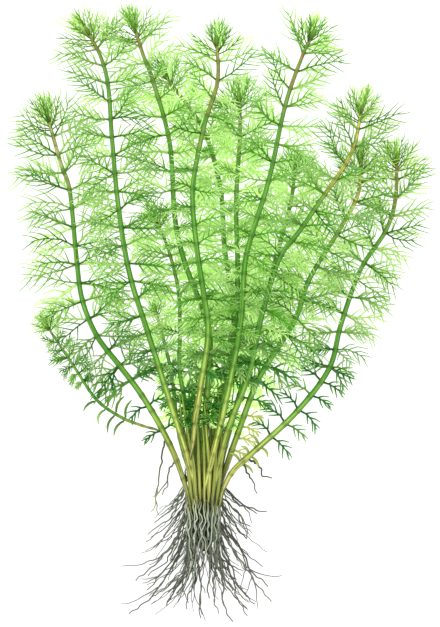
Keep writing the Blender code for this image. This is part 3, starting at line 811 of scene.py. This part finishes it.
def build_stem(name, habit, skin_finish, leaf_finish):
    """One leafy stem: a stalk, its whorls of comb leaves and its tip."""
    rng = random.Random(name)
    growth = Growth()
    total = length_of(smooth_line(habit.corners, STEM_LENGTH_POINTS))
    rings = max(STEM_LEAST_RINGS, round(total / STEM_RING_EVERY))
    add_stalk(growth, name, habit, total, rings, rng)
    stem = LeafyStem(name, habit, smooth_line(habit.corners, rings))
    growth.leaves([*whorl_leaves(stem, rng), *rosette_leaves(stem, rng), *foot_leaves(stem, rng)], LEAF)
    add_bud(growth, stem)
    growth.piece(f"{name}_in_leaf", [skin_finish, leaf_finish], [name])


def shoot_leaves(line, lift, rng):
    """Yields the few small old leaves of a young shoot. Those of the low shoots are pale and hang."""
    frames = directions(line)
    pale = 1.0 if lift < PALE_SHOOTS_BELOW else 0.0
    for turn in range(0, SHOOT_TURNS, SHOOT_LEAF_TURN):
        place, along, level, up = at_share(line, frames, 0.6 + 0.4 * turn / SHOOT_TURNS)
        if place[1] < SHOOT_LEAVES_FROM:
            continue
        turn_round = math.radians(spread_sideways(turn + rng.uniform(-20, 20)))
        rise = -abs(math.sin(turn_round)) if pale else math.sin(turn_round)
        outward = level * math.cos(turn_round) + up * rise
        angle = rng.uniform(45, 80)
        roll = level_roll(along, outward, angle) + rng.uniform(-30, 30)
        bend = rng.uniform(-10, 35)
        length = rng.uniform(6.0, 9.5) + 2.5 * pale
        age = rng.choice((0.0, 0.2))
        yield Leaf("old", place + outward * 0.4, along, outward, angle, bend, length, roll, age, pale,
                   rng.random(), thick=0.7 + 0.6 * pale)


def build_shoots(skin_finish, leaf_finish):
    """The young stalks that fill the bundle just above the crown, each with a few small old leaves."""
    rng = random.Random("shoots")
    growth = Growth()
    leaves = []
    share = np.linspace(0, 1, SHOOT_POINTS)
    for k in range(SHOOTS):
        aside = 2 * (k + 0.5) / SHOOTS - 1
        lift = SHOOT_LIFTS[k % 4]
        top = rng.uniform(28, 56)
        lean = aside * 9.0 + rng.uniform(-1.5, 1.5)
        corners = [(aside * 5.0, -8.0, lift - 3.5), (aside * 6.6, 1.0, lift), (aside * 8.0, 12.0, lift + 0.8),
                   (lean, 24.0, lift + 2.5), (lean * 1.2 + rng.uniform(-2, 2), top, lift + 4.5)]
        line = smooth_line(corners, SHOOT_POINTS)
        radii = rng.uniform(0.6, 1.2) * np.interp(share, (0, 0.2, 0.6, 1), (0.6, 1, 0.85, 0.35))
        # Every shoot is darker at its foot and the low ones much darker: painted shade in the neck and under
        # the shoots above.
        dark_foot = 1.6 if lift < DARK_FEET_BELOW else 0.3
        # A shoot's age mark is high at its foot, where the skin is painted darker as shade.
        growth.tube(line, radii, 8, SKIN, STEM_SKIN_SCALE, age=np.interp(share, (0, 0.2), (0.9, 0.0)),
                    luck=rng.random(), reach=0.01 + 0.2 * share,
                    joint=np.interp(share, (0.2, 0.65), (dark_foot, 0.0)),
                    yellow=rng.choice((0.0, 0.3, 0.6, 1.0)))
        leaves.extend(shoot_leaves(line, lift, rng))
    growth.leaves(leaves, LEAF)
    growth.piece("young_shoots", [skin_finish, leaf_finish])


def node_points(name):
    """The points of a node of the solids, each once, in the plant's frame."""
    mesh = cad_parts[name].data
    points = np.zeros(len(mesh.vertices) * 3, np.float32)
    mesh.vertices.foreach_get("co", points)
    return np.unique(np.round(points.reshape(-1, 3) / MM, 3), axis=0) - PLANT_ZERO


def node_line(name):
    """The middle line of a root of the solids, whose rings have four points, from the crown out."""
    points = node_points(name)
    farthest = points[np.argmax(np.linalg.norm(points - CROWN_MIDDLE, axis=1))]
    nearest = points[np.argmax(np.linalg.norm(points - farthest, axis=1))]
    order = np.argsort((points - nearest) @ (farthest - nearest))
    rings = points[order][:len(points) // 4 * 4].reshape(-1, 4, 3)
    line = rings.mean(axis=1)
    return line if line[0, 2] > line[-1, 2] else line[::-1]


def wander(count, rng):
    """So many random numbers from -1 to 1."""
    return np.array([rng.uniform(-1, 1) for _ in range(count)])


def kinked(line, every, kink, rng):
    """A line with small kinks from side to side, which stays above the table."""
    count = max(4, round(length_of(line) / every))
    coarse = smooth_line(line, count)
    _, level, up = directions(coarse)
    sway, lift = wander(count, rng), wander(count, rng)
    sway[0] = lift[0] = 0.0
    coarse = coarse + level * (sway * kink)[:, None] + up * (lift * kink * 0.5)[:, None]
    fine = smooth_line(coarse, count * 3)
    fine[:, 2] = np.maximum(fine[:, 2], ROOT_LOW)
    return fine


def crown_at(along):
    """Half width, half height and height of the middle of the root crown at places along Y."""
    table = CROWN_SECTIONS[::-1]
    return [np.interp(along, table[:, 0], table[:, k]) for k in (1, 2, 3)]


def crown_line(turns, along, off):
    """A line on the crown: turns in degrees (0 right, 90 on top), places along Y, and how far off it lies."""
    wide, high, middle = crown_at(along)
    turns = np.radians(turns)
    z = middle + np.sin(turns) * (high + off)
    return np.stack([CROWN_MIDDLE_X + np.cos(turns) * (wide + off), along, np.maximum(z, 0.4)], axis=1)


def root_radii(count, thick, tip_share=0.5):
    """Thickness of a root along its line."""
    return thick * (1 - (1 - tip_share) * np.linspace(0, 1, count) ** 1.3)


def flowing(line, tip, stretch=0.45):
    """A line that goes on from its end towards the root tip, first straight on and then spreading out."""
    foot = line[-1]
    heading = unit(line[-1] - line[-2])
    length = np.linalg.norm(tip - foot)
    first = foot + heading * length * stretch
    first[2] = max(0.5, min(first[2], foot[2] * 0.4))
    t = np.linspace(0.15, 1, 6)[:, None]
    return np.vstack([line, (1 - t) ** 2 * foot + 2 * t * (1 - t) * first + t ** 2 * tip])


def root_tip(foot, fan, length):
    """Where a root ends on the table: so far from its foot, at an angle in degrees from straight back."""
    fan = math.radians(fan)
    back = max(foot[1] - math.cos(fan) * length, ROOM_LOW[1] + 0.6)
    return np.array([foot[0] + math.sin(fan) * length, back, ROOT_TIP_HEIGHT])


def build_core(growth):
    """The dark inside of the mat, which shows between the strands: a near-black tube that is painted shade
    deep in the tangle.
    """
    along = np.linspace(4.0, -26.0, 34)
    wide, high, middle = crown_at(along)
    form = TubeForm.of(28, len(along))
    ring, turn = form.ring, form.turn
    knots = 0.76 + 0.05 * np.sin(9 * turn + 0.4 * along[ring]) + 0.04 * np.sin(17 * turn - 0.7 * along[ring])
    closing = np.interp(along[ring], (-26, -16, 0, 4), (0.25, 0.9, 1.0, 0.8))
    core_shade = np.stack([CROWN_MIDDLE_X + np.cos(turn) * wide[ring] * knots * closing, along[ring],
                     np.maximum(middle[ring] + np.sin(turn) * high[ring] * knots * closing, 0.0)], axis=1)
    growth.add(form, core_shade, SKIN, form.skin(along * 0.05), luck=0.5, joint=1.0)


def strand_on_crown(turn, start, stop, off, rng, sway=8.0):
    """A wavy line down the crown, from a place along Y to another."""
    count = max(4, round((start - stop) / STRAND_POINT_EVERY))
    places = np.linspace(start, stop, count)
    turns = turn + sway * wander(count, rng) + rng.uniform(-12, 12) * np.linspace(0, 1, count)
    return crown_line(turns, places, off)


def add_strand(growth, line, thick, tip_share, **marks):
    """Adds a strand or a fine root that starts as thin as a hair, so that no blunt end shows."""
    count = len(line)
    radii = root_radii(count, thick, tip_share) * np.interp(np.arange(count), (0, 7), (0.35, 1.0))
    growth.tube(line, radii, 5, SKIN, ROOT_SKIN_SCALE, **marks)


def build_crown(finish):
    """The crown: a dark inside, and the mat of wavy strands over it that run out into the free roots. The
    inside and the deep strands are painted shade.
    """
    rng = random.Random("crown")
    growth = Growth()
    build_core(growth)
    for k in range(TOP_STRANDS + DEEP_STRANDS):
        deep = k >= TOP_STRANDS
        share = (k - TOP_STRANDS + 0.5) / DEEP_STRANDS if deep else (k + 0.5) / TOP_STRANDS
        turn = -25 + 230 * share + rng.uniform(-5, 5)
        bright = 0.0 if deep else (0.15, 0.75, 0.3, 0.95)[k % 4]
        start, stop = rng.uniform(-4, 4), rng.uniform(-27, -16)
        off = rng.uniform(-2.0, -1.2) if deep else 0.5 * bright - rng.uniform(0.1, 0.7)
        line = strand_on_crown(turn, start, stop, off, rng, 8.0 if deep else 5.0)
        line[:, 2] -= np.interp(line[:, 1], (-9.0, -3.0, 4.0), (0.0, 1.0, 3.0))
        fan = 30 * math.cos(math.radians(turn)) + rng.uniform(-13, 13)
        length = rng.uniform(5, 16) if deep else rng.uniform(12, 34)
        line = kinked(flowing(line, root_tip(line[-1], fan, length)), 2.0, 0.45, rng)
        count = len(line)
        fading = np.interp(np.arange(count) / count, (0, 0.12, 0.5, 1), (0.1, 1, 0.9, 0))
        thick = rng.uniform(0.28, 0.4) if deep else rng.uniform(0.32, 0.44)
        # The deep strands, under the top ones, are made nearly as dark as the inside: painted shade.
        add_strand(growth, line, thick, 0.4, reach=np.linspace(0.0, 1.0, count), luck=rng.random(),
                   joint=0.85 if deep else 0.0, pale=bright * fading,
                   yellow=np.interp(line[:, 1], (-12, 2), (0.0, 0.6)))
    growth.piece("root_crown_mat", [finish], ["root_crown"])


def grown_on(line):
    """A root's line with its start moved onto what it grows from: a stem's side, or up along the crown."""
    foot = line[0]
    if foot[1] > 2.0 and abs(foot[0]) > 10.0:
        stalk_points = np.vstack([STEM_LINES[name] for name in ROOTED_STEMS])
        stem_point = stalk_points[np.argmin(np.linalg.norm(stalk_points - foot, axis=1))]
        return np.vstack([stem_point, foot * 0.6 + stem_point * 0.4, line[1:]])
    wide, high, middle = crown_at(foot[1])
    turn = math.degrees(math.atan2((foot[2] - middle) / high, (foot[0] - CROWN_MIDDLE_X) / wide))
    places = np.array([foot[1] + 9.0, foot[1] + 4.5])
    start = crown_line(np.array([turn, turn]), np.minimum(places, [4.0, 2.0]), -0.3)
    return np.vstack([start if foot[1] < -4.0 else start[:1], line[1:]])


def add_side_root(growth, line, luck, rng):
    """A fork or a fine side root that leaves a main root."""
    start = rng.uniform(0.5, 0.85)
    at = int(start * len(line))
    side = rng.choice((-1, 1))
    heading = unit(line[at] - line[at - 3])
    fan = math.degrees(math.atan2(heading[0], -heading[1])) + side * rng.uniform(14, 32)
    tip = root_tip(line[at], fan, (1 - start) * length_of(line) * rng.uniform(0.6, 1.0) + 2.0)
    branch = kinked(flowing(line[at - 2:at + 1], tip), 2.2, 0.4, rng)
    growth.tube(branch, root_radii(len(branch), SIDE_ROOT_RADIUS), 5, SKIN, ROOT_SKIN_SCALE,
                reach=np.linspace(start, 1, len(branch)), luck=luck, pale=0.2)


def build_roots(finish):
    """Every main root, kinked along the middle line of its solid, with a fork or a fine side root on some."""
    for name in sorted(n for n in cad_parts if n.startswith("root_") and n != "root_crown"):
        rng = random.Random(name)
        growth = Growth()
        line = kinked(grown_on(node_line(name)), 2.1, 0.5, rng)
        count = len(line)
        luck = rng.random()
        growth.tube(line, root_radii(count, ROOT_RADIUS * rng.uniform(0.78, 1.0)), 6, SKIN, ROOT_SKIN_SCALE,
                    reach=np.linspace(0.15, 1, count), luck=luck, pale=rng.uniform(0, 0.25),
                    yellow=np.linspace(0, 1, count) ** 3 if name == "root_24" else 0.0)
        for _ in range(rng.choice((0, 0, 1, 1, 2))):
            add_side_root(growth, line, luck, rng)
        growth.piece(f"{name}_strand", [finish], [name])


def build_fine_roots(finish):
    """The finer roots: a thin fringe down both sides of the neck, and some more at the root end."""
    rng = random.Random("fine roots")
    growth = Growth()
    for k in range(NECK_ROOTS):
        side = 1 if k % 5 in (1, 3) else -1
        along = 8 - 22 * (k + rng.random()) / NECK_ROOTS
        turn = 90 - side * rng.uniform(70, 115)
        line = strand_on_crown(turn, along + 5, along, -0.3, rng)
        fan = side * rng.uniform(14, 46)
        line = kinked(flowing(line, root_tip(line[-1], fan, rng.uniform(9, 32)), 0.3), 2.0, 0.42, rng)
        add_strand(growth, line, rng.uniform(0.26, 0.42), 0.5, reach=np.linspace(0.3, 1, len(line)),
                   luck=rng.random(), pale=rng.uniform(0.0, 0.5))
    for k in range(END_ROOTS):
        share = (k + rng.random()) / END_ROOTS
        line = strand_on_crown(180 - 180 * share, rng.uniform(-18, -10), rng.uniform(-28, -22), -0.8, rng)
        fan = 38 * (2 * share - 1) + rng.uniform(-10, 10)
        line = kinked(flowing(line, root_tip(line[-1], fan, rng.uniform(9, 30))), 2.0, 0.42, rng)
        add_strand(growth, line, rng.uniform(0.3, 0.44), 0.5, reach=np.linspace(0.1, 1, len(line)),
                   luck=rng.random(), pale=rng.uniform(0, 0.4))
    growth.piece("fine_roots", [finish])


class Socket:
    """One output of a node. Sums written with it become Math nodes."""

    def __init__(self, finish, output):
        self.finish = finish
        self.output = output

    def maths(self, operation, first, second):
        return self.finish.node("ShaderNodeMath", {"operation": operation}, {0: first, 1: second})

    def __add__(self, other):
        return self.maths("ADD", self, other)

    def __sub__(self, other):
        return self.maths("SUBTRACT", self, other)

    def __mul__(self, other):
        return self.maths("MULTIPLY", self, other)

    __radd__ = __add__
    __rmul__ = __mul__


class Finish:
    """A material with one Principled shader, and what is needed to paint it."""

    def __init__(self, name, roughness, gloss):
        self.material = bpy.data.materials.new(name)
        self.material.use_nodes = True
        self.tree = self.material.node_tree
        self.shader = self.tree.nodes["Principled BSDF"]
        self.set(Roughness=roughness, Specular_IOR_Level=gloss)

    def set(self, **values):
        """Sets sockets of the shader to values."""
        for socket, value in values.items():
            self.shader.inputs[socket.replace("_", " ")].default_value = value

    def node(self, kind, settings=None, inputs=None, output=0):
        """Any node: its settings first, then the values or links of its sockets."""
        made = self.tree.nodes.new(kind)
        for key, value in (settings or {}).items():
            setattr(made, key, value)
        for key, value in (inputs or {}).items():
            if isinstance(value, Socket):
                self.tree.links.new(value.output, made.inputs[key])
            else:
                made.inputs[key].default_value = value
        return Socket(self, made.outputs[output])

    def mark(self, name):
        """One of the numbers that the pieces carry at each point."""
        return self.node("ShaderNodeAttribute", {"attribute_name": name}, output="Fac")

    def ramp(self, value, *stops):
        """A colour for each value from 0 to 1. A stop is a place and the colour there, as tone takes it."""
        made = self.node("ShaderNodeValToRGB", inputs={"Fac": value})
        elements = made.output.node.color_ramp.elements
        for place, *_ in stops[1:-1]:
            elements.new(place)
        for element, (place, *colour) in zip(elements, stops):
            element.position = place
            element.color = tone(*colour)
        return made

    def blend(self, mask, first, second):
        """The first colour where the mask is 0 and the second where it is 1."""
        return self.node("ShaderNodeMix", {"data_type": "RGBA"}, {0: mask, 6: first, 7: second}, 2)

    def coat(self, mask, colour, value, *stops):
        """A colour with a ramp of others laid over it where the mask is 1."""
        return self.blend(mask, colour, self.ramp(value, *stops))

    def between(self, value, low, high):
        """0 below low, 1 above high, smooth between them."""
        return self.node("ShaderNodeMapRange", {"interpolation_type": "SMOOTHSTEP"},
                         {"Value": value, "From Min": low, "From Max": high})

    def skin(self):
        """Places on the skin of a stem or root: round it, and a little along it."""
        return self.node("ShaderNodeAttribute", {"attribute_name": "skin"}, output="Vector")

    def skin_noise(self, scale):
        """Noise that follows the skin of a stem or root, drawn out along it."""
        return self.node("ShaderNodeTexNoise", inputs={"Vector": self.skin(), "Scale": scale, "Detail": 3.0})

    def place_noise(self, scale):
        """Noise by place on the piece."""
        place = self.node("ShaderNodeTexCoord", output="Object")
        return self.node("ShaderNodeTexNoise", inputs={"Vector": place, "Scale": scale, "Detail": 2.0})

    def paint(self, colour, bump=None, depth=0.0, glow=None):
        """Feeds the shader its colour, a bump from a height, and the colour of a painted glow."""
        self.tree.links.new(colour.output, self.shader.inputs["Base Color"])
        if glow:
            self.tree.links.new(glow.output, self.shader.inputs["Emission Color"])
            self.set(Emission_Strength=1.0)
        if bump:
            normal = self.node("ShaderNodeBump", None, {"Strength": 0.4, "Distance": depth, "Height": bump})
            self.tree.links.new(normal.output, self.shader.inputs["Normal"])
        return self.material


def leaf_finish():
    """Leaf threads: a darker rib, bright threads with paler ends, dark blue-green when old, pale below. In
    the thick of the bunch they are painted lighter, and all glow a little in their own colour: painted light.
    """
    leaf = Finish("leaf_threads", 0.6, 0.15)
    age, reach, luck, pale, inside = (leaf.mark(n) for n in ("age", "reach", "luck", "pale", "inside"))
    old = leaf.ramp(reach, (0.0, 20, 80, 22), (0.5, 34, 106, 32), (1.0, 92, 156, 66))
    grown = leaf.ramp(reach, (0.0, 44, 104, 16), (0.4, 70, 138, 30), (1.0, 120, 178, 78))
    colour = leaf.blend(leaf.between(age, 0.1, 0.42), old, grown)
    young = leaf.between(age, 0.75, 1.0)
    colour = leaf.coat(young, colour, reach, (0.0, 68, 96, 20), (0.4, 100, 158, 36), (1.0, 168, 212, 94))
    dark_one = leaf.between(luck, 0.5, 0.9) * 0.7
    colour = leaf.coat(dark_one, colour, reach, (0.0, 28, 84, 14), (0.6, 46, 112, 24), (1.0, 96, 152, 62))
    # Leaves in the thick of the bunch, which the leaves above shade, are painted lighter: painted light.
    painted_light_in_thick = inside * leaf.between(age, 0.12, 0.3) * leaf.between(luck, 0.95, 0.4)
    colour = leaf.coat(painted_light_in_thick, colour, reach, (0.0, 54, 122, 18), (0.5, 84, 156, 36),
                       (1.0, 142, 200, 92))
    light_one = leaf.between(luck, 0.3, 0.0) * 0.5
    colour = leaf.coat(light_one, colour, reach, (0.0, 124, 180, 50), (1.0, 196, 230, 132))
    colour = leaf.coat(pale * 0.9, colour, reach, (0.0, 196, 237, 132), (1.0, 219, 250, 170))
    yellow = leaf.mark("yellow")
    colour = leaf.coat(yellow, colour, reach, (0.0, 158, 168, 62), (0.6, 194, 204, 104), (1.0, 176, 190, 104))
    colour = leaf.coat(leaf.mark("joint") * 0.85, colour, reach, (0.0, 66, 66, 24), (1.0, 50, 106, 24))
    # A painted glow in each leaf's own colour: some on every leaf, much more on the pale leaves in the thick
    # of the bunch, most on the old low ones, lifting the shade that the leaves above cast.
    low_down = leaf.between(age, 0.32, 0.06)
    through = leaf.blend(0.15 + (pale * inside) * (0.24 + 0.46 * low_down), BLACK, colour)
    return leaf.paint(colour, glow=through)


def stem_finish():
    """Stem skin: olive and yellow at the foot, bright green up the stem, then olive-brown, gold or cream.
    A three-fold pattern round it paints a highlight along its top and shade near both sides; on yellow
    stems that top line is gold, a real yellow laid on as a painted highlight."""
    stem = Finish("stem_skin", 0.5, 0.25)
    height, turned, kind, joint, pale = (stem.mark(n) for n in ("reach", "turned", "kind", "joint", "pale"))
    yellow, neck_shade = stem.mark("yellow"), stem.mark("age")
    streak = stem.skin_noise(2.4)
    upward = stem.node("ShaderNodeSeparateXYZ", inputs={"Vector": stem.skin()}, output="Y")
    # Three-fold pattern round the stem, 1 along its top and -1 near both sides as seen from above: it places
    # painted highlight and painted shade.
    painted_light_round = upward * (4 * upward * upward - 3)
    painted_side_shade = stem.between(painted_light_round, 0.3, -0.8)
    painted_top_highlight = stem.between(painted_light_round, 0.1, 0.95)
    colour = stem.ramp(height, (0.0, 136, 142, 72), (0.1, 150, 162, 70), (0.18, 122, 160, 54),
                       (0.3, 82, 146, 36), (0.6, 84, 146, 40), (1.0, 104, 150, 54))
    gold = stem.ramp(height, (0.0, 196, 200, 104), (0.08, 216, 218, 108), (0.18, 180, 196, 92),
                     (0.34, 98, 154, 48))
    colour = stem.blend(yellow * stem.between(height, 0.3, 0.06) * 0.35, colour, gold)
    # Gold along the top of yellow stems: the yellow is the stem's own, its line along the top a painted
    # highlight.
    colour = stem.blend(yellow * painted_top_highlight, colour, gold)
    # Darker colour for the dark streaks of the skin and for the painted shade near the sides.
    shade = stem.ramp(height, (0.0, 44, 50, 18), (0.07, 92, 104, 32), (0.2, 72, 118, 26), (0.5, 46, 112, 18),
                      (1.0, 58, 108, 26))
    # Painted shade near both sides, deeper at the very foot, where the stalks crowd into the neck.
    colour = stem.blend(painted_side_shade * (0.5 + stem.between(height, 0.06, 0.0) * 0.35), colour, shade)
    colour = stem.blend(stem.between(streak, 0.49, 0.61) * 0.8, colour, shade)
    light_streaks = stem.between(streak, 0.44, 0.34) * 0.5
    colour = stem.coat(light_streaks, colour, height, (0.0, 200, 206, 116), (0.3, 142, 188, 80),
                       (1.0, 142, 184, 80))
    upper = stem.ramp(kind, (0.0, 100, 146, 54), (0.33, 142, 156, 72), (0.66, 208, 204, 94),
                      (1.0, 196, 204, 140))
    upper_spots_and_shade = stem.ramp(kind, (0.0, 76, 120, 36), (0.33, 126, 102, 54), (0.66, 138, 134, 48),
                            (1.0, 156, 138, 90))
    # Darker streaks and spots on the upper stretch; near the sides a little painted shade is added to the
    # streaks.
    upper = stem.blend(stem.between(streak + painted_side_shade * 0.12, 0.48, 0.62), upper, upper_spots_and_shade)
    upper = stem.blend(stem.between(stem.place_noise(560.0), 0.5, 0.6) * 0.65, upper, upper_spots_and_shade)
    colour = stem.blend(turned * stem.between(stem.place_noise(260.0), 0.34, 0.54), colour, upper)
    # Dark joints, which are real, and the dark feet of low stems and shoots, which are painted shade.
    colour = stem.coat(joint * 0.5, colour, height, (0.0, 40, 46, 18), (0.15, 58, 74, 24), (0.4, 28, 78, 20),
                       (1.0, 46, 66, 22))
    colour = stem.blend(pale * 0.4, colour, tone(146, 192, 88))
    # Darker, with streaks, where a stalk runs into the crown and at the foot of each young shoot: painted
    # shade deep in the neck.
    colour = stem.coat(neck_shade * 0.8, colour, streak, (0.36, 126, 132, 78), (0.6, 40, 46, 22))
    return stem.paint(colour, streak, 0.00025)


def root_finish():
    """Roots: grey-green to brown-grey skin with dark joints, paler on the mat, and a near black inside, which
    with the deep strands of the mat is painted shade.
    """
    root = Finish("root_skin", 0.7, 0.25)
    reach, luck, pale, core_shade = (root.mark(n) for n in ("reach", "luck", "pale", "joint"))
    skin = root.skin_noise(3.0)
    colour = root.ramp(luck, (0.0, 60, 66, 38), (0.3, 50, 57, 42), (0.65, 64, 65, 54), (1.0, 36, 41, 30))
    colour = root.blend(root.between(reach, 0.4, 1.0) * 0.6, colour, tone(104, 104, 98))
    colour = root.blend(pale * 0.85, colour, tone(196, 208, 182))
    colour = root.blend(root.between(skin, 0.5, 0.64) * 0.65, colour, tone(38, 42, 30))
    colour = root.blend(root.mark("yellow"), colour, tone(166, 172, 96))
    # Near black on the inside and on the deep strands: painted shade.
    colour = root.coat(core_shade, colour, skin, (0.3, 12, 18, 8), (0.7, 34, 46, 24))
    return root.paint(colour, skin, 0.0002)


def build_floor():
    """A plain white table that fills the view. It glows a little, as a light table does, so that the shade
    under the leaves stays pale."""
    half_wide = 3.0
    shape = bmesh.new()
    bmesh.ops.create_grid(shape, x_segments=1, y_segments=1, size=half_wide)
    mesh = bpy.data.meshes.new("table")
    shape.to_mesh(mesh)
    shape.free()
    white = Finish("table_white", 0.9, 0.0)
    white.set(Base_Color=(0.25, 0.25, 0.25, 1.0), Emission_Color=WHITE, Emission_Strength=0.95)
    mesh.materials.append(white.material)
    table = put_in_scene("table", mesh)


def build_light():
    """Even white light from all round, and one soft lamp from the upper left."""
    scene = bpy.context.scene
    world = bpy.data.worlds.new("studio")
    world.use_nodes = True
    background = world.node_tree.nodes["Background"]
    background.inputs["Color"].default_value = WHITE
    background.inputs["Strength"].default_value = 1.25
    scene.world = world
    light = bpy.data.lights.new("key", "AREA")
    light.shape = "SQUARE"
    light.size = 0.9
    light.energy = 9.0
    lamp = put_in_scene("key", light)
    lamp.location = (-0.7, 0.5, 1.3)
    lamp.rotation_euler = (-Vector(lamp.location)).to_track_quat("-Z", "Y").to_euler()
    scene.view_settings.view_transform = "Standard"


def build_camera():
    """Straight down from two metres, framing what the drawing frames."""
    subject_height = 0.018
    distance = 2.0
    sensor = 36.0
    middle = np.array([(PICTURE_WIDE / 2 - ZERO_PIXEL[0]) * MM_PER_PIXEL,
                       (ZERO_PIXEL[1] - PICTURE_HIGH / 2) * MM_PER_PIXEL, 0.0])
    middle = (middle + PLANT_ZERO) * MM
    data = bpy.data.cameras.new("camera")
    data.sensor_width = sensor
    data.lens = sensor * distance / (PICTURE_HIGH * MM_PER_PIXEL * MM)
    data.clip_end = 10.0
    camera = put_in_scene("camera", data)
    camera.location = (middle[0], middle[1], subject_height + distance)
    bpy.context.scene.camera = camera


def main():
    build_camera()
    build_light()
    build_floor()
    skin, leaf, root = stem_finish(), leaf_finish(), root_finish()
    for name, habit in STEMS.items():
        build_stem(name, habit, skin, leaf)
    build_shoots(skin, leaf)
    build_crown(root)
    build_roots(root)
    build_fine_roots(root)


main()
